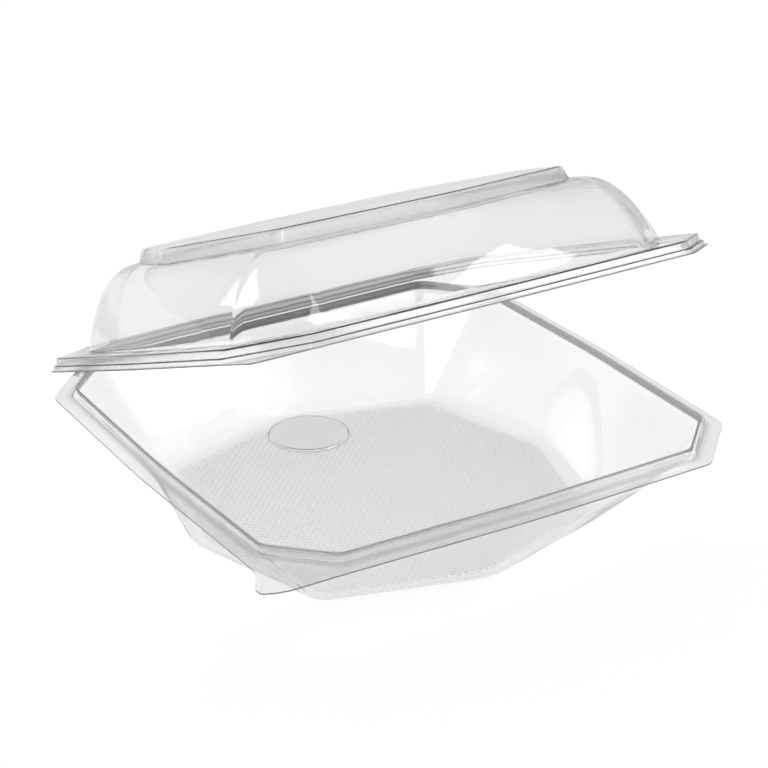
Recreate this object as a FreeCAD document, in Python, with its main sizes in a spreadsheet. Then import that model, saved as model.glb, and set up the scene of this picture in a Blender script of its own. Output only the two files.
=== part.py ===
import FreeCAD, Part
import math
import os
from types import SimpleNamespace

import Sketcher

# Clear hinged pack for food: a faceted tray, a domed lid with a raised step to stack on, and the film
# hinge along the back edge that joins them. Both halves are one moulded sheet of even thickness.
# Millimetres, +Z up, -Y is the front, the origin lies on the table under the middle of the tray.

NODES = ("base_tray", "lid", "hinge_film")
BUILD_FAULTS = ("Invalid", "Error")

# Flat strips that make up the curve of the dome's wall.
DOME_STRIPS = 7

# How far out of the plane of the other three a facet's last corner may lie and still count as flat.
FLAT_WITHIN = 1e-6

# Every driving size: alias in the sheet, value, what it is.
SIZES = (
    ("sheet", 0.6, "thickness of the moulded sheet"),
    ("flange_side", 210.0, "width and depth over the tray's flange"),
    ("flange_cut", 25.0, "leg of the flange's cut corners"),
    ("side_bow", 2.0, "how far the middle of a side stands out"),
    ("flange_width", 6.0, "flat flange outside the locking bead"),
    ("bead_height", 3.7, "height of the locking bead above the flange"),
    ("bead_width", 3.2, "width of the locking bead at its foot"),
    ("bead_draft", 0.3, "how much each side of the bead leans in"),
    ("tray_height", 38.0, "table to the top of the flange"),
    ("floor_corner", 66.0, "middle of the floor to a corner point, along one axis"),
    ("floor_reach", 84.0, "middle of the floor to a mid-side point"),
    ("floor_shift", 4.5, "how far the floor sits behind the middle of the flange"),
    ("heel", 3.0, "rise and inset of the bevel round the floor"),
    ("star_blunt", 3.0, "leg of the small cut on a corner of the floor or the shoulder"),
    ("disc_round", 17.0, "radius of the plain raised disc in the floor"),
    ("disc_rise", 0.8, "height of that disc"),
    ("disc_right", 2.0, "middle of the floor to the disc, to the right"),
    ("disc_back", 60.0, "middle of the floor to the disc, to the back"),
    ("closing_gap", 0.4, "lid lip to tray flange when closed"),
    ("lid_inset", 0.1, "lid's edge inside the tray's edge"),
    ("rim_lip", 1.0, "flat lip round the foot of the lid's rim"),
    ("rim_height", 5.2, "foot of the lid's rim to its top"),
    ("rim_step", 2.4, "height of the lower step on the rim"),
    ("rim_tread", 1.4, "width of that step"),
    ("rim_draft", 0.3, "how much each riser of the rim leans in"),
    ("rim_shelf", 9.7, "flat top of the rim, from its edge to the foot of the dome"),
    ("dome_cut", 25.0, "leg of the dome's cut corners"),
    ("dome_rise", 30.0, "rim top to the dome's shoulder"),
    ("dome_knee", 0.4, "share of the way in at which the dome's wall would turn if it had a sharp knee"),
    ("dome_shift", 4.0, "how far the shoulder sits behind the middle of the flange"),
    ("shoulder_corner", 66.0, "middle of the shoulder to a corner point, along one axis"),
    ("dome_lean", 8.5, "foot of the dome's side to the mid-side point of the shoulder, inwards"),
    ("ledge", 2.0, "flat ledge between the shoulder and the stacking step"),
    ("step_rise", 5.4, "height of the stacking step"),
    ("step_draft", 1.5, "how much the step's wall leans in"),
    ("lid_open", 22.0, "opening angle of the lid, in degrees"),
    ("hinge_round", 0.4, "radius of the film hinge's roll"),
    ("hinge_drop", 0.1, "middle of the roll below the top of the flange"),
    ("hinge_end", 2.0, "end of the roll to the end of the straight back edge"),
    ("tab_ear", 6.0, "how far the tray's thumb tab stands out to the left"),
    ("tab_neck", 17.0, "front corner to the start of that ear"),
    ("tab_slant", 12.0, "length of the ear's slanted back edge, along the side"),
    ("tab_bite", 3.0, "how far the tray's tab reaches over the flange"),
    ("tab_round", 3.0, "corner radius of the thumb tabs"),
    ("lid_tab_bite", 0.8, "how far the lid's tab reaches over the lip"),
)


def add_sheet(document):
    """The spreadsheet with one named cell for each driving size."""
    sheet = document.addObject("Spreadsheet::Sheet", "Sizes")
    for row, (alias, value, meaning) in enumerate(SIZES, start=1):
        sheet.set(f"A{row}", meaning)
        sheet.set(f"B{row}", str(value))
        sheet.setAlias(f"B{row}", alias)
    document.recompute()
    return sheet


def read_sizes(sheet):
    """The cells by their names, for the surfaces that no sketch or primitive can make."""
    return SimpleNamespace(**{alias: float(sheet.get(alias)) for alias, _value, _meaning in SIZES})


# Rings and sheets


def ring(half, cut, bow, height, shift=0.0, back_bow=None):
    """Twelve points of a square with cut corners whose sides stand out at the middle.

    They run left side, front, right, back, three to a side: its first corner point, its middle
    and its last corner point. back_bow replaces the bow of the back side alone.
    """
    bows = [bow, bow, bow, bow if back_bow is None else back_bow]
    points = []
    for quarter, stand_out in enumerate(bows):
        turn = FreeCAD.Rotation(FreeCAD.Vector(0, 0, 1), 90 * quarter)
        left_side = ((-half, half - cut), (-half - stand_out, 0), (-half, cut - half))
        for x, y in left_side:
            point = turn.multVec(FreeCAD.Vector(x, y, height))
            points.append(point + FreeCAD.Vector(0, shift, 0))
    return points


def narrowed_cut(cut, inset):
    """Leg of a cut corner whose edge stays parallel when every side moves in by inset."""
    return cut - inset * (2 - math.sqrt(2))


def patch(first, second, third, fourth):
    """Face over four corner points in order round it: flat where they allow it, else ruled."""
    normal = (second - first).cross(third - first)
    twist = normal.dot(fourth - first)
    if abs(twist) < FLAT_WITHIN * normal.Length:
        return Part.Face(Part.makePolygon([first, second, third, fourth, first]))
    return Part.makeRuledSurface(Part.makeLine(first, second), Part.makeLine(fourth, third))


def band(lower, upper):
    """Faces between two rings of equal length."""
    count = len(lower)
    faces = []
    for index in range(count):
        following = (index + 1) % count
        faces.append(patch(lower[index], lower[following], upper[following], upper[index]))
    return faces


def curved_rings(foot_ring, top_ring, inward, strips):
    """Rings between two others along a wall that leans in from the foot and runs level into the top.

    Each profile is the curve of three poles: its foot, a knee at the height of the top, and its top.
    The knee lies inward of the foot by a share of the way to the top.
    """
    rings = []
    for number in range(1, strips):
        along = number / strips
        points = []
        for foot, top in zip(foot_ring, top_ring):
            way = top - foot
            knee = foot + FreeCAD.Vector(inward * way.x, inward * way.y, way.z)
            points.append(foot * (1 - along) ** 2 + knee * (2 * along * (1 - along)) + top * along**2)
        rings.append(points)
    return rings


def cap(points):
    """Flat face that closes a ring."""
    return Part.Face(Part.makePolygon(points + points[:1]))


def moulded_sheet(outside, inside):
    """Closed solid between two stacks of rings that both run from the sheet's free edge to its middle."""
    faces = band(outside[0], inside[0]) + [cap(outside[-1]), cap(inside[-1])]
    for rings in (outside, inside):
        for lower, upper in zip(rings, rings[1:]):
            faces += band(lower, upper)
    shell = Part.makeShell(faces)
    shell.sewShape()
    solid = Part.makeSolid(shell)
    if solid.Volume < 0:
        solid.reverse()
    return solid


def star(corner, reach, size, inset, height, shift):
    """Ring of the floor or the shoulder: almost sharp corners, and sides that stand out to reach."""
    return ring(corner - inset, size.star_blunt, reach - corner, height, shift)


# Tray


def tray_rings(size):
    """Rings of the tray's top and bottom surfaces, from the flange's edge to the floor."""
    flat = size.tray_height
    crest = flat + size.bead_height
    thick = size.sheet

    def rim(inset, height):
        cut = narrowed_cut(size.flange_cut, inset)
        return ring(size.flange_side / 2 - inset, cut, size.side_bow, height, back_bow=0.0)

    def floor(inset, height):
        return star(size.floor_corner, size.floor_reach, size, inset, height, size.floor_shift)

    foot = size.flange_width
    lean = size.bead_draft
    inner = foot + size.bead_width
    top = [
        rim(0, flat),
        rim(foot, flat),
        rim(foot + lean, crest),
        rim(inner - lean, crest),
        rim(inner, flat),
        floor(thick, size.heel + thick),
        floor(size.heel + thick, thick),
    ]
    bottom = [
        rim(0, flat - thick),
        rim(foot + thick, flat - thick),
        rim(foot + lean + thick, crest - thick),
        rim(inner - lean - thick, crest - thick),
        rim(inner - thick, flat - thick),
        floor(0, size.heel),
        floor(size.heel, 0),
    ]
    return top, bottom


def add_tray_sheet(document, size):
    """The tray itself: flange, locking bead, faceted walls and floor in one sheet."""
    tray = document.addObject("Part::Feature", "tray_sheet")
    tray.Shape = moulded_sheet(*tray_rings(size))
    return tray


def add_disc(document, name, inset):
    """Round block under or over the plain disc in the floor; inset is an expression."""
    block = document.addObject("Part::Cylinder", name)
    block.setExpression("Radius", f"Sizes.disc_round - ({inset})")
    block.setExpression("Height", f"Sizes.disc_rise + Sizes.sheet - ({inset})")
    block.setExpression("Placement.Base.x", "Sizes.disc_right")
    block.setExpression("Placement.Base.y", "Sizes.floor_shift + Sizes.disc_back")
    return block


def add_base_tray(document, size):
    """Tray with its thumb tab and the disc that is pressed up into the floor."""
    whole = document.addObject("Part::MultiFuse", "tray_with_tab")
    disc = add_disc(document, "disc", "0")
    whole.Shapes = [add_tray_sheet(document, size), add_tray_tab(document, size), disc]
    tray = document.addObject("Part::Cut", "base_tray")
    tray.Base = whole
    tray.Tool = add_disc(document, "disc_hollow", "Sizes.sheet")
    return tray


# Thumb tabs


def origin_plane(body, role):
    """A body's own origin plane, by its role."""
    return next(plane for plane in body.Origin.OriginFeatures if plane.Role == role)


def outline_sketch(body, name, corners):
    """Closed outline on the body's ground plane; each corner is a pair of expressions for x and y."""
    sketch = body.newObject("Sketcher::SketchObject", name)
    sketch.AttachmentSupport = [(origin_plane(body, "XY_Plane"), "")]
    sketch.MapMode = "FlatFace"
    count = len(corners)
    for index in range(count):
        turn = 2 * math.pi * index / count
        following = 2 * math.pi * (index + 1) / count
        start = FreeCAD.Vector(math.cos(turn), math.sin(turn), 0)
        end = FreeCAD.Vector(math.cos(following), math.sin(following), 0)
        sketch.addGeometry(Part.LineSegment(start, end))
    for index in range(count):
        sketch.addConstraint(Sketcher.Constraint("Coincident", index, 2, (index + 1) % count, 1))
    for index, corner in enumerate(corners):
        for direction, expression in zip(("DistanceX", "DistanceY"), corner):
            number = sketch.addConstraint(Sketcher.Constraint(direction, -1, 1, index, 1, 1.0))
            sketch.setExpression(f"Constraints[{number}]", expression)
    return sketch


def add_tab(document, name, corners, height, rounded):
    """Flat tab over an outline, one sheet thick; rounded picks the upright edges to round off."""
    body = document.addObject("PartDesign::Body", name)
    pad = body.newObject("PartDesign::Pad", name + "_plate")
    pad.Profile = outline_sketch(body, name + "_outline", corners)
    pad.setExpression("Length", "Sizes.sheet")
    body.setExpression("Placement.Base.z", height)
    document.recompute()
    fillet = body.newObject("PartDesign::Fillet", name + "_rounding")
    fillet.Base = (pad, upright_edges(pad.Shape, rounded))
    fillet.setExpression("Radius", "Sizes.tab_round")
    body.Tip = fillet
    return body


def upright_edges(shape, wanted):
    """Names of the upright edges of a plate whose x and y the wanted function accepts."""
    names = []
    for number, edge in enumerate(shape.Edges, start=1):
        start, end = (vertex.Point for vertex in edge.Vertexes)
        level_shift = math.hypot(start.x - end.x, start.y - end.y)
        if level_shift < abs(start.z - end.z) and wanted(start.x, start.y):
            names.append(f"Edge{number}")
    return names


def add_tray_tab(document, size):
    """Tab that fills the tray's front-left corner and stands out to the left in a rounded ear."""
    edge = "-Sizes.flange_side / 2"
    corners = [
        (edge, f"{edge} + Sizes.flange_cut + Sizes.tab_bite"),
        (edge, f"{edge} + Sizes.tab_neck"),
        (f"{edge} - Sizes.tab_ear", f"{edge} + Sizes.tab_neck - Sizes.tab_slant"),
        (f"{edge} - Sizes.tab_ear", edge),
        (f"{edge} + Sizes.flange_cut + Sizes.tab_bite", edge),
    ]
    ear = -(size.flange_side + size.tab_ear) / 2
    return add_tab(document, "tray_tab", corners, "Sizes.tray_height - Sizes.sheet", lambda x, y: x < ear)


def add_lid_tab(document, size):
    """Tab that fills the lid's front-left corner, rounded at the tip."""
    edge = "-Sizes.flange_side / 2 + Sizes.lid_inset"
    corners = [
        (edge, f"{edge} + Sizes.flange_cut + Sizes.lid_tab_bite"),
        (edge, edge),
        (f"{edge} + Sizes.flange_cut + Sizes.lid_tab_bite", edge),
    ]
    tip = size.tab_round - size.flange_side / 2
    height = "Sizes.tray_height + Sizes.closing_gap"
    return add_tab(document, "lid_tab", corners, height, lambda x, y: max(x, y) < tip)


# Lid


def lid_rings(size):
    """Rings of the closed lid's outer and inner surfaces, from the lip's edge to the top."""
    lip = size.tray_height + size.closing_gap
    thick = size.sheet
    rim_top = lip + size.rim_height
    shoulder = rim_top + size.dome_rise
    top = shoulder + size.step_rise
    draft = size.rim_draft
    tread = size.rim_lip + size.rim_tread
    rim_half = size.flange_side / 2 - size.lid_inset
    foot_half = rim_half - tread - draft - size.rim_shelf
    shoulder_reach = foot_half - size.dome_lean

    def rim(inset, height):
        cut = narrowed_cut(size.flange_cut, inset)
        return ring(rim_half - inset, cut, size.side_bow, height, back_bow=0.0)

    def foot(inset, height):
        cut = narrowed_cut(size.dome_cut, inset)
        return ring(foot_half - inset, cut, size.side_bow, height)

    def crown(inset, height):
        return star(size.shoulder_corner, shoulder_reach, size, inset, height, size.dome_shift)

    def dome_wall(inset, drop):
        wall = foot(inset, rim_top - drop), crown(inset, shoulder - drop)
        between = curved_rings(*wall, size.dome_knee, DOME_STRIPS)
        return [wall[0], *between, wall[1]]

    outside = [
        rim(0, lip + thick),
        rim(size.rim_lip, lip + thick),
        rim(size.rim_lip + draft, lip + size.rim_step),
        rim(tread, lip + size.rim_step),
        rim(tread + draft, rim_top),
        *dome_wall(0, 0),
        crown(size.ledge, shoulder),
        crown(size.ledge + size.step_draft, top),
    ]
    inside = [
        rim(0, lip),
        rim(size.rim_lip + thick, lip),
        rim(size.rim_lip + draft + thick, lip + size.rim_step - thick),
        rim(tread + thick, lip + size.rim_step - thick),
        rim(tread + draft + thick, rim_top - thick),
        *dome_wall(thick, thick),
        crown(size.ledge + thick, shoulder - thick),
        crown(size.ledge + size.step_draft + thick, top - thick),
    ]
    return outside, inside


def add_lid(document, size):
    """Domed lid with its thumb tab, swung open about the hinge."""
    shell = document.addObject("Part::Feature", "lid_sheet")
    shell.Shape = moulded_sheet(*lid_rings(size))
    lid = document.addObject("Part::MultiFuse", "lid")
    lid.Shapes = [shell, add_lid_tab(document, size)]
    swing = FreeCAD.Rotation(FreeCAD.Vector(1, 0, 0), -size.lid_open)
    lid.Placement = FreeCAD.Placement(FreeCAD.Vector(), swing, hinge_line(size))
    return lid


# Hinge


def hinge_line(size):
    """Point on the line that the lid turns about: the middle of the film hinge's roll."""
    return FreeCAD.Vector(0, size.flange_side / 2 + size.hinge_round, size.tray_height - size.hinge_drop)


def add_hinge_film(document):
    """Thin roll of film along the straight part of the back edge."""
    roll = document.addObject("Part::Cylinder", "hinge_film")
    half = "(Sizes.flange_side / 2 - Sizes.flange_cut - Sizes.hinge_end)"
    roll.setExpression("Radius", "Sizes.hinge_round")
    roll.setExpression("Height", f"2 * {half}")
    roll.Placement.Rotation = FreeCAD.Rotation(FreeCAD.Vector(0, 1, 0), 90)
    roll.setExpression("Placement.Base.x", f"-{half}")
    roll.setExpression("Placement.Base.y", "Sizes.flange_side / 2 + Sizes.hinge_round")
    roll.setExpression("Placement.Base.z", "Sizes.tray_height - Sizes.hinge_drop")
    return roll


# Document


def check(document):
    """Stop at an object that could not be built or a sub-part without a sound solid."""
    for item in document.Objects:
        faults = [state for state in item.State if state in BUILD_FAULTS]
        if faults:
            raise RuntimeError(f"{item.Label}: {faults}")
    for name in NODES:
        shape = document.getObject(name).Shape
        if shape.isNull() or not shape.isValid() or len(shape.Solids) != 1:
            raise RuntimeError(f"{name}: no sound solid")


def main():
    """Build the document, check it and write one file for each sub-part."""
    document = FreeCAD.newDocument("hinged_pack")
    size = read_sizes(add_sheet(document))
    add_base_tray(document, size)
    add_lid(document, size)
    add_hinge_film(document)
    document.recompute()
    check(document)
    os.makedirs("parts", exist_ok=True)
    for name in NODES:
        shape = document.getObject(name).Shape
        shape.exportStep(f"parts/{name}.step")
        print(f"{name}: {shape.Volume:.0f} cubic mm, {len(shape.Faces)} faces")


main()
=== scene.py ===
# %% [markdown]
# # A clear hinged food pack
#
# The object is a clear plastic pack for food: a faceted tray, a domed lid that stands a little open, and a
# film hinge along the back edge. Both halves are thin sheet, so nearly all that the eye sees is edges,
# creases and reflections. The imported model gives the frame: what moves, and where everything lies. This
# lesson lays fine glass-like sheets over it, one for each half, and lights them as a white studio would.

# %% Load the frame
import math

import bpy
import numpy as np
from mathutils import Matrix


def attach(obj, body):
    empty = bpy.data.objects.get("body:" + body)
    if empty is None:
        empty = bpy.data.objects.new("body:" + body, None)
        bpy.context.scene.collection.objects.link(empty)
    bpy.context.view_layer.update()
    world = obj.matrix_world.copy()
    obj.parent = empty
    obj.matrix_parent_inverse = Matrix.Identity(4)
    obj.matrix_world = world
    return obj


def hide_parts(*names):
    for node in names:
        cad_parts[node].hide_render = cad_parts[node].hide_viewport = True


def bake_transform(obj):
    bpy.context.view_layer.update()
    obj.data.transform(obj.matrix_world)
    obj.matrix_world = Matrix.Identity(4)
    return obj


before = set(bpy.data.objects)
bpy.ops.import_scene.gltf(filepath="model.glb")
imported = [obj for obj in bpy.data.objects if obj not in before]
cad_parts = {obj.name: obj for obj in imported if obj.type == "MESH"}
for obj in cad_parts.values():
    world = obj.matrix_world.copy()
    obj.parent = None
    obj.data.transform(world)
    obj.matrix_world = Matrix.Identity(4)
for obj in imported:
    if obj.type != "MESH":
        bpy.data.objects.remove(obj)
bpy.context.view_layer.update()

MM = 0.001

# %% [markdown]
# ## Rings
#
# Seen from above, each half is a stack of closed outlines: a square with cut corners at the rim, and an
# eight-pointed star, nearly a circle, at the floor. Every outline has the same twelve corner points, three
# to a side, so that point number five of one ring belongs to point number five of the next. That is what
# lets the flat facets of the walls come out by themselves when two rings are joined.
#
# A moulded corner is never sharp. So each corner is replaced by a short curve with a reach: how far before
# and after the corner it starts and ends. The straight runs between get a few points too, because a facet
# between two rings that aren't parallel is slightly twisted.

# %% Corner points and rounded rings
RING_CORNERS = 12
PER_CORNER = 6
PER_RUN = 7
CORNER_STEP = PER_CORNER + PER_RUN


def cut_square(half, cut, bow, back_bow=None):
    """Twelve corner points of a square with cut corners, in millimetres.

    Each side is its first corner (-half, half - cut), its middle, which stands out by bow, and its last
    corner (-half, cut - half). The left side is turned by quarter turns to give front, right and back.
    """
    bows = [bow, bow, bow, bow if back_bow is None else back_bow]
    quarter = np.array([[0.0, 1.0], [-1.0, 0.0]])
    sides = []
    for turns, stand_out in enumerate(bows):
        side = np.array([[-half, half - cut], [-half - stand_out, 0.0], [-half, cut - half]])
        sides.append(side @ np.linalg.matrix_power(quarter, turns))
    return np.concatenate(sides)


def unit(vectors):
    """Each vector divided by its own length."""
    return vectors / np.linalg.norm(vectors, axis=-1, keepdims=True)


def bend(start, corner, end, steps):
    """Points on the curve of three poles, (1-s)^2 start + 2s(1-s) corner + s^2 end, for s from 0 to 1."""
    s = np.linspace(0.0, 1.0, steps).reshape((steps,) + (1,) * start.ndim)
    return (1 - s) ** 2 * start + 2 * s * (1 - s) * corner + s**2 * end


def round_ring(corners, reach):
    """Closed ring through rounded corners: PER_CORNER points round each, and PER_RUN along each run."""
    reach = np.broadcast_to(reach, (len(corners),))[:, None]
    start = corners + unit(np.roll(corners, 1, axis=0) - corners) * reach
    end = corners + unit(np.roll(corners, -1, axis=0) - corners) * reach
    curves = bend(start, corners, end, PER_CORNER).transpose(1, 0, 2)
    u = np.linspace(0.0, 1.0, PER_RUN + 2)[1:-1, None]
    runs = end[:, None] * (1 - u) + np.roll(start, -1, axis=0)[:, None] * u
    return np.concatenate([curves, runs], axis=1).reshape(-1, 2)


def at_height(ring, height):
    """A flat ring lifted to a height."""
    return np.column_stack([ring, np.full(len(ring), height)])


print("points round a ring:", RING_CORNERS * CORNER_STEP)

# %% [markdown]
# ## From rings to a sheet
#
# A profile is carried round the rings: the same list of rings, read from the free edge to the middle, is a
# path at every point of the outline. Its corners are rounded with the same curve. The result is a grid of
# points with one parameter round the pack and one from edge to middle. The middle is closed with one
# point, and Solidify gives the sheet its thickness, which real glass-like shading needs: light has to go
# in on one side and out on the other. The edges along the free edge are marked sharp, so that the flat
# flange is shaded flat right up to the cut.

# %% Profiles and the sheet's mesh
SHEET = 0.5


def round_profile(stations):
    """Points along a path of stations (place, reach, steps), each rounded over its reach.

    A place is a whole ring or a single point. A station with one step stays as it is. Otherwise its curve
    runs from reach before the place to reach after it, measured towards its neighbours.
    """
    places = [place for place, _reach, _steps in stations]
    path = []
    for number, (place, reach, steps) in enumerate(stations):
        if steps == 1:
            path.append(place[None])
            continue
        start = place + unit(places[number - 1] - place) * reach
        end = place + unit(places[number + 1] - place) * reach
        path.append(bend(start, place, end, steps))
    return np.concatenate(path)


def walled_object(name, vertices, faces, thickness, side):
    """Smooth mesh of points in millimetres with a wall to one side: 1 is up and out, -1 in, 0 both."""
    mesh = bpy.data.meshes.new(name)
    mesh.from_pydata(vertices * MM, [], faces)
    mesh.shade_smooth()
    piece = bpy.data.objects.new(name, mesh)
    bpy.context.collection.objects.link(piece)
    wall = piece.modifiers.new("wall", "SOLIDIFY")
    wall.thickness = thickness * MM
    wall.offset = side
    return piece


def sheet_object(name, grid, side, body, replaced):
    """Sheet from a grid (rows, points, xyz) of closed rings, closed by a fan at its middle.

    Each face joins a point, the following point of its ring, and the same two points of the next ring.
    """
    rows, points, _three = grid.shape
    row, point = np.meshgrid(np.arange(rows - 1), np.arange(points), indexing="ij")
    here = row * points + point
    beside = row * points + (point + 1) % points
    quads = np.stack([here, beside, beside + points, here + points], axis=-1).reshape(-1, 4)
    around = np.arange(points)
    last = (rows - 1) * points
    fan = np.stack([last + around, last + (around + 1) % points, np.full(points, rows * points)], axis=-1)
    middle = grid[-1].mean(axis=0)
    vertices = np.concatenate([grid.reshape(-1, 3), middle[None]])
    piece = walled_object(name, vertices, quads.tolist() + fan.tolist(), SHEET, side)
    piece.modifiers["wall"].use_even_offset = True
    piece.modifiers["wall"].material_offset_rim = 1

    mesh = piece.data
    mesh.validate()
    ends = np.empty(len(mesh.edges) * 2, dtype=np.int32)
    mesh.edges.foreach_get("vertices", ends)
    sharp = mesh.attributes.new("sharp_edge", "BOOLEAN", "EDGE")
    sharp.data.foreach_set("value", (ends.reshape(-1, 2) < points).all(axis=1))
    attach(piece, body)
    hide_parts(replaced)
    print(name, "rows", rows, "round", points, "faces", len(mesh.polygons))
    return piece


# %% [markdown]
# A material has to know where on a sheet it is. So every point of a sheet carries a few numbers from 0 to
# 1, called marks: how far it is knurled, how far it is ribbed and painted dark as painted shade, and how
# far it is hazy and painted grey as painted shade of its bends.

# %% Marks on the points


def station_rows(stations, values):
    """One number for each row of the grid, from one number for each station."""
    return np.repeat(np.array(values, dtype=float), [steps for _place, _reach, steps in stations])


def mark_points(piece, name, shares):
    """Store a number from 0 to 1 on every point of the mesh; shares has the shape of its grid."""
    values = np.append(shares.ravel(), shares[-1, -1]).astype(np.float32)
    layer = piece.data.attributes.new(name, "FLOAT", "POINT")
    layer.data.foreach_set("value", values)
    print(name, "on", piece.name, "at", int((values > 0).sum()), "points")


# %% [markdown]
# ## Outlines of the pack
#
# Two outlines serve both halves. The rim is a square of 210 mm with cut corners, whose sides stand out a
# little in the middle. The star is the outline of the floor and of the lid's shoulder.
#
# A cut corner of the rim can be filled by a thumb tab. A tab's outline has just as many points as the
# stretch of the ring that it takes the place of, so the rings still match point for point.

# %% Rim, star and tab
FLANGE_HALF = 105.0
FLANGE_CUT = 25.0
SIDE_BOW = 2.0
CUT_SLIM = 2 - math.sqrt(2)
TAB_CORNER = 2
STAR_HALF = 66.0
STAR_POINT = 84.0
STAR_CUT = 3.0
RIM_REACH = np.tile([3.0, 12.0, 3.0], 4)
STAR_REACH = np.tile([1.6, 7.0, 1.6], 4)


def rim_ring(inset, height, half=FLANGE_HALF):
    """Outline of the rim moved in by inset; the back side is straight for the hinge.

    Where the outline moves in by inset, the cut of a corner gets shorter by inset times 2 - sqrt 2.
    """
    corners = cut_square(half - inset, FLANGE_CUT - inset * CUT_SLIM, SIDE_BOW, back_bow=0.0)
    return at_height(round_ring(corners, RIM_REACH), height)


def star_ring(inset, height, shift, scale=1.0):
    """Star of the floor or the shoulder, moved in by inset, then scaled about its middle."""
    corners = cut_square(STAR_HALF - inset, STAR_CUT, STAR_POINT - STAR_HALF)
    return at_height(round_ring(corners, STAR_REACH) * scale + shift, height)


def star_rows(inset, height, shift, scales):
    """Plain stations on the flat inside a star, one for each scale."""
    return [(star_ring(inset, height, shift, scale), 0.0, 1) for scale in scales]


def tabbed(ring, outline):
    """The ring with a tab's outline of (x, y, reach, steps) from corner TAB_CORNER to the one after it."""
    changed = ring.copy()
    first = TAB_CORNER * CORNER_STEP
    changed[first : first + CORNER_STEP + PER_CORNER, :2] = round_profile(
        [(np.array([x, y]), reach, steps) for x, y, reach, steps in outline]
    )
    return changed


def between(ring_a, ring_b, count):
    """Plain stations at even shares of the way between two rings."""
    shares = np.linspace(0.0, 1.0, count + 2)[1:-1]
    return [(ring_a * (1 - share) + ring_b * share, 0.0, 1) for share in shares]


print("rim", 2 * FLANGE_HALF, "mm, star", 2 * STAR_POINT, "mm across its points")

# %% [markdown]
# ## The tray
#
# The tray is pressed from one sheet: a flat flange, a locking bead standing on it, faceted walls and a flat
# floor with a small bevel round it. At the front left a thumb tab fills the cut corner and stands out to
# the left. The rings below are those of the sheet's underside, so that the tray rests on the table with
# the right face.

# %% Tray: rings
FLANGE_LOW = 37.4
BEAD_HIGH = 41.1
FLANGE_MIDDLE = 3.0
BEAD_FOOT, BEAD_OUTER, BEAD_INNER, WALL_TOP = 6.6, 6.9, 8.3, 8.6
HEEL = 1.3
FLOOR_SHIFT = np.array([0.0, 4.5])
FLOOR_SCALES = (0.97, 0.935, 0.88, 0.8, 0.68, 0.54, 0.4, 0.26, 0.12)
TRAY_TAB = [
    (-105.0, -79.0, 0.0, 1),
    (-105.0, -84.0, 0.0, 1),
    (-105.0, -88.0, 2.5, 3),
    (-111.2, -98.5, 2.0, 3),
    (-110.6, -102.0, 1.6, 4),
    (-103.0, -105.0, 2.5, 2),
    (-98.5, -105.0, 0.0, 1),
    (-94.0, -105.0, 0.0, 1),
    (-89.0, -105.0, 0.0, 1),
    (-84.0, -105.0, 0.0, 1),
    (-79.0, -105.0, 0.0, 1),
]

wall_top_ring = rim_ring(WALL_TOP, FLANGE_LOW)
heel_top = star_ring(0.0, HEEL, FLOOR_SHIFT)
wall_rows = between(wall_top_ring, heel_top, 9)
floor_rows = star_rows(HEEL, 0.0, FLOOR_SHIFT, FLOOR_SCALES)
tray_stations = [
    (tabbed(rim_ring(0.0, FLANGE_LOW), TRAY_TAB), 0.0, 1),
    (rim_ring(FLANGE_MIDDLE, FLANGE_LOW), 0.0, 1),
    (rim_ring(BEAD_FOOT, FLANGE_LOW), 0.5, 4),
    (rim_ring(BEAD_OUTER, BEAD_HIGH), 0.7, 5),
    (rim_ring(BEAD_INNER, BEAD_HIGH), 0.6, 5),
    (wall_top_ring, 1.2, 6),
    *wall_rows,
    (heel_top, 0.8, 5),
    (star_ring(HEEL, 0.0, FLOOR_SHIFT), 0.8, 5),
    *floor_rows,
]
tray_grid = round_profile(tray_stations)
tray = sheet_object("tray_sheet", tray_grid, 1.0, "tray", "base_tray")

# %% [markdown]
# The floor is knurled, with a soft start at its edge. The back edge, next to the hinge, is ribbed and
# painted dark as painted shade. The tight bends are a little rough and painted grey as painted shade of the
# bends: the list below has one number for each station of the tray.

# %% Tray: marks
RIBS_FROM = 97.5
RIBS_BELOW = 44.5
KNURL_START = 0.7
# Painted grey shade with roughness at the bead and the heel, one number for each station.
TRAY_HAZE_AND_PAINTED_SHADE = [0, 0, 0.6, 0, 1, 0, *[0] * len(wall_rows), 0.15, 0.1, *[0] * len(floor_rows)]


def at_back(grid):
    """1 where a point of the closed pack's rim is behind RIBS_FROM and below RIBS_BELOW, else 0."""
    return np.where((grid[..., 1] > RIBS_FROM) & (grid[..., 2] < RIBS_BELOW), 1.0, 0.0)


knurled = np.zeros(tray_grid.shape[:2])
knurled[1 - len(FLOOR_SCALES)] = KNURL_START
knurled[2 - len(FLOOR_SCALES) :] = 1.0
tray_haze_and_painted_shade = station_rows(tray_stations, TRAY_HAZE_AND_PAINTED_SHADE)
mark_points(tray, "knurled", knurled)
# The back gets ribs with painted dark shade; bends and back get roughness with painted grey shade.
mark_points(tray, "ribs_and_painted_shade", at_back(tray_grid))
mark_points(tray, "haze_and_painted_shade", np.maximum(tray_haze_and_painted_shade[:, None], at_back(tray_grid)))

# %% [markdown]
# ## The disc in the floor
#
# Towards the back the floor carries a plain round disc, pressed up by less than a millimetre. It is made as
# a shallow cap of its own that stands on the floor, because a circle does not follow the rings of the star.

# %% Disc
DISC_AT = np.array([2.0, 64.5])
DISC_ROUND = 17.0
DISC_RISE = 0.8
DISC_SLANT = 0.4
DISC_POINTS = 96
CAP_SHEET = 0.35


def disc_ring(radius, height):
    """Circle about the disc's middle, middle + radius (-cos, -sin), run the same way as the other rings."""
    turn = np.linspace(0.0, 2 * math.pi, DISC_POINTS, endpoint=False)
    return at_height(DISC_AT + radius * np.column_stack([-np.cos(turn), -np.sin(turn)]), height)


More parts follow.
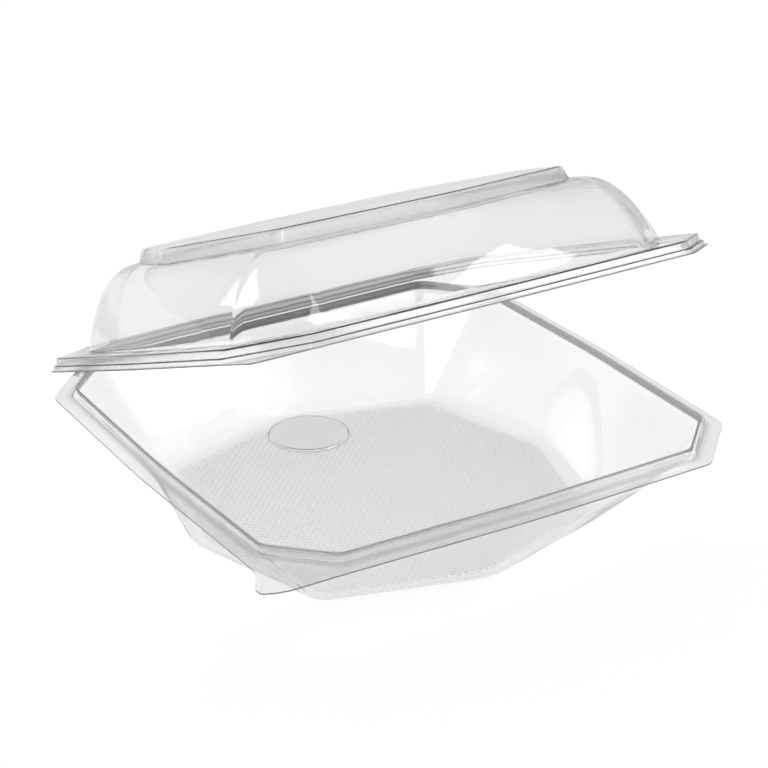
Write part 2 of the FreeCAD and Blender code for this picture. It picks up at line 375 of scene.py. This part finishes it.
disc_stations = [
    (disc_ring(DISC_ROUND, SHEET), 0.0, 1),
    (disc_ring(DISC_ROUND - DISC_SLANT, SHEET + DISC_RISE), 0.35, 5),
    *[(disc_ring(DISC_ROUND * share, SHEET + DISC_RISE), 0.0, 1) for share in (0.9, 0.7, 0.5, 0.3, 0.1)],
]
disc = sheet_object("floor_disc", round_profile(disc_stations), -1.0, "tray", "base_tray")
disc.modifiers["wall"].thickness = CAP_SHEET * MM
disc.modifiers["wall"].material_offset_rim = 0

# %% [markdown]
# ## The lid
#
# The lid is a second sheet: a narrow lip, a rim in two steps that drops over the tray's bead, a domed wall
# that leaves the rim upright and curves in, a flat ledge and a raised step for stacking. It is worked out
# closed, where its rings are level, and then swung open about the hinge with one turn of all its points.

# %% Lid: helpers
DOME_KNEE = 0.4
HINGE = np.array([0.0, 105.4, 37.9])
LID_OPEN = math.radians(22.0)


def dome_wall(foot, top, rows):
    """Rows up the dome: at each point the curve of three poles, foot, knee and top.

    The knee is level with the top, and lies inward of the foot by the share DOME_KNEE of the way to the top.
    """
    knee = foot + (top - foot) * np.array([DOME_KNEE, DOME_KNEE, 1.0])
    return bend(foot, knee, top, rows)


def swing(points, angle):
    """Points turned about the hinge line so that the front rises by the angle."""
    y, z = points[..., 1] - HINGE[1], points[..., 2] - HINGE[2]
    turned = points.copy()
    turned[..., 1] = HINGE[1] + y * math.cos(angle) + z * math.sin(angle)
    turned[..., 2] = HINGE[2] - y * math.sin(angle) + z * math.cos(angle)
    return turned


# %% [markdown]
# The heights of the lid start from its lip: first the outer edge, then the lower and the upper step of the
# rim, the shoulder at the top of the dome, and the step for stacking. The insets go inward from the edge.

# %% Lid: rings
LID_HALF = 104.9
LIP = 38.4
LIP_EDGE = LIP + 0.6
RIM_STEP = LIP + 2.4
RIM_TOP = LIP + 5.2
SHOULDER = RIM_TOP + 30.0
STACK_TOP = SHOULDER + 5.4
LIP_INNER, STEP_OUTER, STEP_INNER, RIM_OUTER = 1.0, 1.3, 2.4, 2.7
STACK_FOOT, STACK_EDGE = 2.0, 3.5
DOME_HALF = 92.5
DOME_CUT = 25.0
DOME_SHIFT = np.array([0.0, 4.0])
DOME_ROWS = 14
TOP_SCALES = (0.97, 0.85, 0.7, 0.5, 0.3, 0.1)
LID_TAB = [
    (-104.9, -79.0, 0.0, 1),
    (-104.9, -84.0, 0.0, 1),
    (-104.9, -89.0, 0.0, 1),
    (-104.9, -94.0, 0.0, 1),
    (-104.9, -99.0, 0.0, 1),
    (-104.9, -104.9, 3.0, 9),
    (-99.0, -104.9, 0.0, 1),
    (-94.0, -104.9, 0.0, 1),
    (-89.0, -104.9, 0.0, 1),
    (-84.0, -104.9, 0.0, 1),
    (-79.0, -104.9, 0.0, 1),
]

rim_top_ring = rim_ring(RIM_OUTER, RIM_TOP, LID_HALF)
dome_foot = at_height(round_ring(cut_square(DOME_HALF, DOME_CUT, SIDE_BOW), RIM_REACH), RIM_TOP)
shoulder = star_ring(0.0, SHOULDER, DOME_SHIFT)
shelf_rows = between(rim_top_ring, dome_foot, 4)
dome_rows = [(row, 0.0, 1) for row in dome_wall(dome_foot, shoulder, DOME_ROWS)[1:-1]]
top_rows = star_rows(STACK_EDGE, STACK_TOP, DOME_SHIFT, TOP_SCALES)
lid_stations = [
    (tabbed(rim_ring(0.0, LIP_EDGE, LID_HALF), LID_TAB), 0.0, 1),
    (rim_ring(LIP_INNER, LIP_EDGE, LID_HALF), 0.3, 3),
    (rim_ring(STEP_OUTER, RIM_STEP, LID_HALF), 0.5, 4),
    (rim_ring(STEP_INNER, RIM_STEP, LID_HALF), 0.5, 4),
    (rim_top_ring, 0.8, 5),
    *shelf_rows,
    (dome_foot, 1.5, 6),
    *dome_rows,
    (shoulder, 0.0, 1),
    (star_ring(STACK_FOOT, SHOULDER, DOME_SHIFT), 0.8, 5),
    (star_ring(STACK_EDGE, STACK_TOP, DOME_SHIFT), 1.2, 6),
    *top_rows,
]
closed_grid = round_profile(lid_stations)
lid = sheet_object("lid_sheet", swing(closed_grid, LID_OPEN), -1.0, "lid", "lid")

# %% [markdown]
# The lid has no knurl. Its rim is a little rough and painted grey all over as painted shade, its dome is
# clear, and the bends of the stacking step are rough and painted grey again.

# %% Lid: marks
# Painted grey shade with roughness on the rim and the stacking step, one number for each station.
LID_HAZE_AND_PAINTED_SHADE = [
    *[0, 0.35, 0.35, 0.35, 0.35],
    *[0] * len(shelf_rows),
    0.15,
    *[0] * len(dome_rows),
    *[0.4, 0.5, 0.2],
    *[0] * len(top_rows),
]
lid_haze_and_painted_shade = station_rows(lid_stations, LID_HAZE_AND_PAINTED_SHADE)
# The back of the lid gets ribs with painted dark shade; rim, step and back get painted grey shade.
mark_points(lid, "ribs_and_painted_shade", at_back(closed_grid))
mark_points(lid, "haze_and_painted_shade", np.maximum(lid_haze_and_painted_shade[:, None], at_back(closed_grid)))

# %% [markdown]
# ## The film hinge
#
# Along the back edge the sheet of the tray turns round in a small loop into the sheet of the lid. It is the
# only part of the real pack that bends, so it is a strip of its own, shaped to meet the tray at one end and
# the open lid at the other.

# %% Hinge strip
HINGE_HALF = 78.0
FILM = 0.25
hinge_start = np.array([105.0, 37.75])
hinge_bulge = np.array([106.2, 38.1])
lid_back = swing(np.array([[0.0, 104.9, 38.7]]), LID_OPEN)[0, 1:]
film_path = bend(hinge_start, hinge_bulge, lid_back, 9)
along = np.linspace(-HINGE_HALF, HINGE_HALF, 27)
film_grid = np.array([[(x, y, z) for x in along] for y, z in film_path])


def strip_object(name, grid, thickness):
    """Strip from an open grid (rows, points, xyz), with its wall to both sides."""
    rows, points, _three = grid.shape
    row, point = np.meshgrid(np.arange(rows - 1), np.arange(points - 1), indexing="ij")
    corner = row * points + point
    quads = np.stack([corner, corner + 1, corner + points + 1, corner + points], axis=-1).reshape(-1, 4)
    print(name, "rows", rows, "along", points, "faces", len(quads))
    return walled_object(name, grid.reshape(-1, 3), quads.tolist(), thickness, 0.0)


film = strip_object("hinge_strip", film_grid, FILM)
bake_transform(film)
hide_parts("hinge_film")

# %% [markdown]
# ## Clear sheet
#
# Clear food packs are pressed from a plastic with the refraction of light glass. A Principled shader with
# full transmission does that. Light on its way through the sheet to the floor would leave a black shadow,
# because light bent through glass seldom finds where it came from, so rays on their way to a lamp or to the
# sky go straight through.
#
# A shader is a chain of small nodes. These helpers each add one node and hand back its output.

# %% Material: helpers
LAMP_RAYS = (0.985, 0.988, 0.986, 1.0)


def calculated(nodes, links, operation, first, second=0.0):
    """Output of a Math node; each input is a socket or a number."""
    node = nodes.new("ShaderNodeMath")
    node.operation = operation
    for socket, value in zip(node.inputs, (first, second)):
        if isinstance(value, (int, float)):
            socket.default_value = value
        else:
            links.new(value, socket)
    return node.outputs[0]


def eased(nodes, links, value, low, high, from_value, to_value):
    """Output of a smooth Map Range: from_value below low, to_value above high."""
    node = nodes.new("ShaderNodeMapRange")
    node.interpolation_type = "SMOOTHSTEP"
    links.new(value, node.inputs["Value"])
    node.inputs["From Min"].default_value = low
    node.inputs["From Max"].default_value = high
    node.inputs["To Min"].default_value = from_value
    node.inputs["To Max"].default_value = to_value
    return node.outputs[0]


def bumped(nodes, links, height, strength, distance, under=None):
    """Normal of a Bump node over an earlier normal; the distance is in metres."""
    node = nodes.new("ShaderNodeBump")
    node.inputs["Strength"].default_value = strength
    node.inputs["Distance"].default_value = distance
    links.new(height, node.inputs["Height"])
    if under is not None:
        links.new(under, node.inputs["Normal"])
    return node.outputs[0]


def noise(nodes, links, place, scale, detail=2.0):
    """Soft random heights; scale is their number to a metre."""
    node = nodes.new("ShaderNodeTexNoise")
    node.inputs["Scale"].default_value = scale
    node.inputs["Detail"].default_value = detail
    links.new(place, node.inputs["Vector"])
    return node.outputs["Fac"]


def grooves(nodes, links, place, direction, spacing):
    """Even wave along X or Y of a vector, one groove to each spacing in metres."""
    node = nodes.new("ShaderNodeTexWave")
    node.bands_direction = direction
    node.inputs["Scale"].default_value = 2 * math.pi / (20 * spacing)
    links.new(place, node.inputs["Vector"])
    return node.outputs["Fac"]


def bare_material(name):
    """New material with no nodes: the material, its nodes and its links."""
    material = bpy.data.materials.new(name)
    material.use_nodes = True
    material.node_tree.nodes.clear()
    return material, material.node_tree.nodes, material.node_tree.links


def plastic(nodes, transmission):
    """Principled shader with the refraction of the plastic; transmission 1 is clear and 0 is solid."""
    shader = nodes.new("ShaderNodeBsdfPrincipled")
    shader.inputs["Transmission Weight"].default_value = transmission
    shader.inputs["IOR"].default_value = 1.5
    return shader


def through_to_lamps(nodes, links, surface):
    """The surface for every ray except those on their way to a lamp, which pass as through clear air."""
    open_way = nodes.new("ShaderNodeBsdfTransparent")
    open_way.inputs["Color"].default_value = LAMP_RAYS
    path = nodes.new("ShaderNodeLightPath")
    choice = nodes.new("ShaderNodeMixShader")
    output = nodes.new("ShaderNodeOutputMaterial")
    links.new(path.outputs["Is Shadow Ray"], choice.inputs["Fac"])
    links.new(surface, choice.inputs[1])
    links.new(open_way.outputs[0], choice.inputs[2])
    links.new(choice.outputs[0], output.inputs["Surface"])


# %% [markdown]
# The marks decide where the sheet differs from plain clear plastic. Where it is knurled, two crossing sets
# of fine grooves scatter the light and look pale grey, but not under the disc. Where it is ribbed, grooves
# run lengthwise along the hinge, and the sheet there is painted dark: painted shade for the dark stripes
# along the hinge. Where it is hazed, it is a little rough and painted grey: painted shade of its bends.

# %% Material: what the marks do
KNURL_SPACING = 2.3 * MM
KNURL_FROM = 0.6
KNURL_DEPTH = 0.3 * MM
RIB_SPACING = 1.6 * MM
RIB_DEPTH = 0.4 * MM
RIPPLE_SCALE = 28.0
RIPPLE_DEPTH = 1.2 * MM
DISC_SOFTNESS = 0.5
CLEAR = (0.93, 0.936, 0.933, 1.0)
KNURLED = (0.93, 0.942, 0.935, 1.0)
# Painted shade in the sheet's colour: grey at bends and rim, dark along the hinge.
PAINTED_BEND_SHADE = (0.62, 0.625, 0.625, 1.0)
PAINTED_HINGE_SHADE = (0.42, 0.425, 0.425, 1.0)
CLEAR_ROUGHNESS = 0.02
FULL_ROUGHNESS = 0.3
HAZE_SHARE = 1.1
DISC_SHARE = 0.35


def read_marks(nodes):
    """The numbers stored on the points, by name."""
    marks = {}
    for name in ("knurled", "ribs_and_painted_shade", "haze_and_painted_shade"):
        node = nodes.new("ShaderNodeAttribute")
        node.attribute_name = name
        marks[name] = node.outputs["Fac"]
    return marks


def outside_disc(nodes, links, place):
    """0 under the disc and 1 outside it."""
    from_disc = nodes.new("ShaderNodeVectorMath")
    from_disc.operation = "DISTANCE"
    from_disc.inputs[1].default_value = (*DISC_AT * MM, 0.0)
    links.new(place, from_disc.inputs[0])
    inner, outer = (DISC_ROUND - DISC_SOFTNESS) * MM, DISC_ROUND * MM
    in_disc = eased(nodes, links, from_disc.outputs["Value"], inner, outer, 1.0, 0.0)
    return calculated(nodes, links, "SUBTRACT", 1.0, in_disc)


def tinted(nodes, links, marks):
    """Colour of the sheet: clear, with each mark's colour mixed over it; bends and hinge get painted shade.
    """
    colour = None
    for name, mark_colour in (("knurled", KNURLED), ("haze_and_painted_shade", PAINTED_BEND_SHADE), ("ribs_and_painted_shade", PAINTED_HINGE_SHADE)):
        mix = nodes.new("ShaderNodeMix")
        mix.data_type = "RGBA"
        if colour is None:
            mix.inputs["A"].default_value = CLEAR
        else:
            links.new(colour, mix.inputs["A"])
        mix.inputs["B"].default_value = mark_colour
        links.new(marks[name], mix.inputs["Factor"])
        colour = mix.outputs["Result"]
    return colour


def roughened(nodes, links, marks, knurl):
    """Roughness: the largest of the open knurl, a share of the covered knurl and a share of the haze."""
    dulled = calculated(nodes, links, "MULTIPLY", marks["haze_and_painted_shade"], HAZE_SHARE)
    covered = calculated(nodes, links, "MULTIPLY", marks["knurled"], DISC_SHARE)
    rough = calculated(nodes, links, "MAXIMUM", calculated(nodes, links, "MAXIMUM", knurl, covered), dulled)
    return eased(nodes, links, rough, 0.0, 1.0, CLEAR_ROUGHNESS, FULL_ROUGHNESS)


def relief(nodes, links, place, marks, knurl):
    """Normal of the sheet: diamonds where it is knurled, ribs along the hinge, and a slow ripple."""
    turned = nodes.new("ShaderNodeMapping")
    turned.inputs["Rotation"].default_value = (0.0, 0.0, math.radians(45.0))
    links.new(place, turned.inputs["Vector"])
    one_way = grooves(nodes, links, turned.outputs[0], "X", KNURL_SPACING)
    other_way = grooves(nodes, links, turned.outputs[0], "Y", KNURL_SPACING)
    diamonds = calculated(nodes, links, "MULTIPLY", one_way, other_way)
    knurl_start = eased(nodes, links, knurl, KNURL_FROM, 1.0, 0.0, 1.0)
    knurl_height = calculated(nodes, links, "MULTIPLY", diamonds, knurl_start)
    waves = grooves(nodes, links, place, "Y", RIB_SPACING)
    rib_height = calculated(nodes, links, "MULTIPLY", waves, marks["ribs_and_painted_shade"])
    ripple_height = noise(nodes, links, place, RIPPLE_SCALE)
    normal = bumped(nodes, links, knurl_height, 0.5, KNURL_DEPTH)
    normal = bumped(nodes, links, rib_height, 0.6, RIB_DEPTH, normal)
    return bumped(nodes, links, ripple_height, 0.25, RIPPLE_DEPTH, normal)


# %% [markdown]
# Two materials come out of this. The clear sheet covers all faces. The cut edge, all round the free edge of
# each half, is frosted by the die.

# %% Material: clear sheet and cut edge
FROSTED = (0.55, 0.56, 0.56, 1.0)
GRAIN_SCALE = 900.0
GRAIN_DEPTH = 0.1 * MM


def clear_material():
    """Clear plastic: glass-like and gently rippled, with knurl, ribs, haze and painted shade where they are
    marked.
    """
    material, nodes, links = bare_material("clear_sheet")
    glass = plastic(nodes, 1.0)
    through_to_lamps(nodes, links, glass.outputs[0])
    place = nodes.new("ShaderNodeTexCoord").outputs["Object"]
    marks = read_marks(nodes)
    knurl = calculated(nodes, links, "MULTIPLY", marks["knurled"], outside_disc(nodes, links, place))
    links.new(tinted(nodes, links, marks), glass.inputs["Base Color"])
    links.new(roughened(nodes, links, marks, knurl), glass.inputs["Roughness"])
    links.new(relief(nodes, links, place, marks, knurl), glass.inputs["Normal"])
    return material


def edge_material():
    """The die-cut edge of the sheet: half clear, frosted, with a fine grain."""
    material, nodes, links = bare_material("cut_edge")
    frosted = plastic(nodes, 0.5)
    frosted.inputs["Base Color"].default_value = FROSTED
    frosted.inputs["Roughness"].default_value = 0.5
    through_to_lamps(nodes, links, frosted.outputs[0])
    place = nodes.new("ShaderNodeTexCoord").outputs["Object"]
    grain = noise(nodes, links, place, GRAIN_SCALE)
    links.new(bumped(nodes, links, grain, 0.3, GRAIN_DEPTH), frosted.inputs["Normal"])
    return material


clear, cut_edge = clear_material(), edge_material()
for piece in (tray, disc, lid, film):
    piece.data.materials.append(clear)
    piece.data.materials.append(cut_edge)
    print(piece.name, "wears", [material.name for material in piece.data.materials])

# %% [markdown]
# ## Studio
#
# A clear object in an all-white room would vanish. What draws its edges is a white sweep behind and under
# it, and an open, darker room in front and at the sides, with soft boxes in it: the sheet bends and mirrors
# the dark part at its edges and creases. The world says so by the kind of ray: what the camera sees is
# white; what the sheet mirrors is the dim room; what the sheet bends is the room too, but brighter, and
# white near the level of the table; and the light that falls on the floor is a plain soft grey.

# %% World
ROOM_DARK = 0.1
ROOM_WHITE = 0.35
BENT_DARK = 0.35
BENT_WHITE = 1.0
CEILING = 0.6
FLOOR_LIGHT = 0.45
SWEEP_BEHIND = (0.5, 0.85)
SWEEP_BELOW = (0.15, 0.4)
CEILING_ABOVE = (0.65, 0.9)
LEVEL_BELOW = (0.08, 0.3)

scene = bpy.context.scene
scene.view_settings.view_transform = "Standard"


def first_look(nodes, links, rays):
    """1 for a camera ray and for rays of the named kinds that have met no matt surface yet, else 0."""
    path = nodes.new("ShaderNodeLightPath")
    lit = calculated(nodes, links, "MINIMUM", path.outputs["Diffuse Depth"], 1.0)
    fresh = calculated(nodes, links, "SUBTRACT", 1.0, lit)
    seen = path.outputs["Is Camera Ray"]
    for ray in rays:
        seen = calculated(nodes, links, "MAXIMUM", seen, path.outputs[ray])
    return calculated(nodes, links, "MULTIPLY", seen, fresh)


def room(nodes, links, direction, dark, white):
    """Brightness of the room by direction: a white sweep low behind, a pale ceiling, and dark elsewhere."""
    behind = eased(nodes, links, direction.outputs["Y"], *SWEEP_BEHIND, dark, white)
    low = eased(nodes, links, direction.outputs["Z"], *SWEEP_BELOW, 1.0, 0.0)
    sweep = calculated(nodes, links, "MULTIPLY", behind, low)
    above = eased(nodes, links, direction.outputs["Z"], *CEILING_ABOVE, dark, CEILING)
    return calculated(nodes, links, "MAXIMUM", sweep, above)


def background(nodes, links, brightness):
    """Plain grey Background; its brightness is a socket or a number."""
    node = nodes.new("ShaderNodeBackground")
    if isinstance(brightness, float):
        node.inputs["Color"].default_value = (brightness, brightness, brightness, 1.0)
    else:
        links.new(brightness, node.inputs["Color"])
    return node


def studio_world():
    """White where it is looked at, a room to mirror and to bend light from, and plain light for the floor."""
    world = bpy.data.worlds.new("studio")
    scene.world = world
    world.use_nodes = True
    nodes, links = world.node_tree.nodes, world.node_tree.links
    nodes.clear()
    direction = nodes.new("ShaderNodeSeparateXYZ")
    links.new(nodes.new("ShaderNodeTexCoord").outputs["Generated"], direction.inputs[0])
    mirrored = room(nodes, links, direction, ROOM_DARK, ROOM_WHITE)
    level = eased(nodes, links, direction.outputs["Z"], *LEVEL_BELOW, 1.0, 0.0)
    bent = calculated(nodes, links, "MAXIMUM", room(nodes, links, direction, BENT_DARK, BENT_WHITE), level)
    shader = background(nodes, links, FLOOR_LIGHT)
    for rays, brightness in ((("Is Glossy Ray",), mirrored), (("Is Transmission Ray",), bent), ((), 1.0)):
        choice = nodes.new("ShaderNodeMixShader")
        links.new(first_look(nodes, links, rays), choice.inputs["Fac"])
        links.new(shader.outputs[0], choice.inputs[1])
        links.new(background(nodes, links, brightness).outputs[0], choice.inputs[2])
        shader = choice
    links.new(shader.outputs[0], nodes.new("ShaderNodeOutputWorld").inputs["Surface"])
    print("world nodes:", len(nodes))


studio_world()

# %% [markdown]
# ## Floor and lamps
#
# The floor is a pale surface that takes light and shadow, with just enough glow of its own to reach white
# where nothing shades it. Mirrored in the sheet it is a little dimmer. The two soft boxes are there only
# for what the sheet mirrors and bends: matt surfaces take no light from them, so the floor stays even.

# %% Floor and lamps
FLOOR_SIZE = 1.5
FLOOR_GAP = 0.3 * MM
FLOOR_PAINT = (0.9, 0.9, 0.9, 1.0)
FLOOR_GLOW = 0.61
MIRRORED_GLOW = 0.65
AIM = (0.0, 0.0, 0.06)


def studio_floor():
    """Large pale floor a hair below the tray, white to look at where nothing shades it."""
    bpy.ops.mesh.primitive_plane_add(size=FLOOR_SIZE, location=(0.0, 0.0, -FLOOR_GAP))
    floor = bpy.context.object
    floor.name = "studio_floor"
    material = bpy.data.materials.new("studio_floor")
    material.use_nodes = True
    nodes, links = material.node_tree.nodes, material.node_tree.links
    paint = nodes["Principled BSDF"]
    paint.inputs["Base Color"].default_value = FLOOR_PAINT
    paint.inputs["Roughness"].default_value = 0.8
    paint.inputs["Specular IOR Level"].default_value = 0.0
    paint.inputs["Emission Color"].default_value = (1.0, 1.0, 1.0, 1.0)
    seen = first_look(nodes, links, ("Is Transmission Ray", "Is Glossy Ray"))
    path = nodes.new("ShaderNodeLightPath")
    unbent = calculated(nodes, links, "SUBTRACT", 1.0, path.outputs["Is Transmission Ray"])
    mirrored = calculated(nodes, links, "MULTIPLY", path.outputs["Is Glossy Ray"], unbent)
    glow = eased(nodes, links, mirrored, 0.0, 1.0, FLOOR_GLOW, FLOOR_GLOW * MIRRORED_GLOW)
    links.new(calculated(nodes, links, "MULTIPLY", seen, glow), paint.inputs["Emission Strength"])
    floor.data.materials.append(material)


def soft_box(name, place, size, power):
    """Rectangular lamp at a place, in metres, aimed at the pack; it tilts by its angle from straight down."""
    lamp = bpy.data.lights.new(name, "AREA")
    lamp.shape = "RECTANGLE"
    lamp.size, lamp.size_y = size
    lamp.energy = power
    holder = bpy.data.objects.new(name, lamp)
    bpy.context.collection.objects.link(holder)
    x, y, z = np.array(AIM) - np.array(place)
    holder.location = place
    holder.rotation_euler = (math.atan2(math.hypot(x, y), -z), 0.0, math.atan2(y, x) - math.pi / 2)
    holder.visible_diffuse = False
    print(name, "at", place, "size", size, "power", power)


studio_floor()
soft_box("front_right_box", (0.734, -0.907, 0.508), (0.5, 1.0), 6.0)
soft_box("left_top_box", (-0.75, -0.35, 1.0), (0.5, 0.4), 2.0)

# %% [markdown]
# ## Camera
#
# The camera stands where the photographer did: well back with a long lens, turned to the left of the
# front, looking a quarter of a right angle down.

# %% Camera
SENSOR = 36.0
IMAGE = 768
FOCAL_PIXELS = 2503.0
AZIMUTH = math.radians(31.02)
ELEVATION = math.radians(24.88)
ROLL = math.radians(-0.52)
DISTANCE = 0.9822
ASIDE, ABOVE = 0.0001, 0.0102
FLANGE_LEVEL = np.array([0.0, 0.0, 0.038])


def add_camera():
    """Camera on a ray from the middle of the flange, moved a little aside and up in its own image plane."""
    level = math.cos(ELEVATION)
    back = np.array([-math.sin(AZIMUTH) * level, -math.cos(AZIMUTH) * level, math.sin(ELEVATION)])
    right = np.array([math.cos(AZIMUTH), -math.sin(AZIMUTH), 0.0])
    up = np.cross(back, right)
    right, up = (
        right * math.cos(ROLL) + up * math.sin(ROLL),
        up * math.cos(ROLL) - right * math.sin(ROLL),
    )
    place = FLANGE_LEVEL + back * DISTANCE + right * ASIDE + up * ABOVE
    camera = bpy.data.objects.new("camera", bpy.data.cameras.new("camera"))
    bpy.context.collection.objects.link(camera)
    turn = np.eye(4)
    turn[:3, 0], turn[:3, 1], turn[:3, 2], turn[:3, 3] = right, up, back, place
    camera.matrix_world = Matrix(turn.tolist())
    camera.data.sensor_width = SENSOR
    camera.data.lens = FOCAL_PIXELS / IMAGE * SENSOR
    camera.data.clip_start = 0.01
    scene.camera = camera
    print("camera at", place.round(4), "lens", round(camera.data.lens, 2))


add_camera()
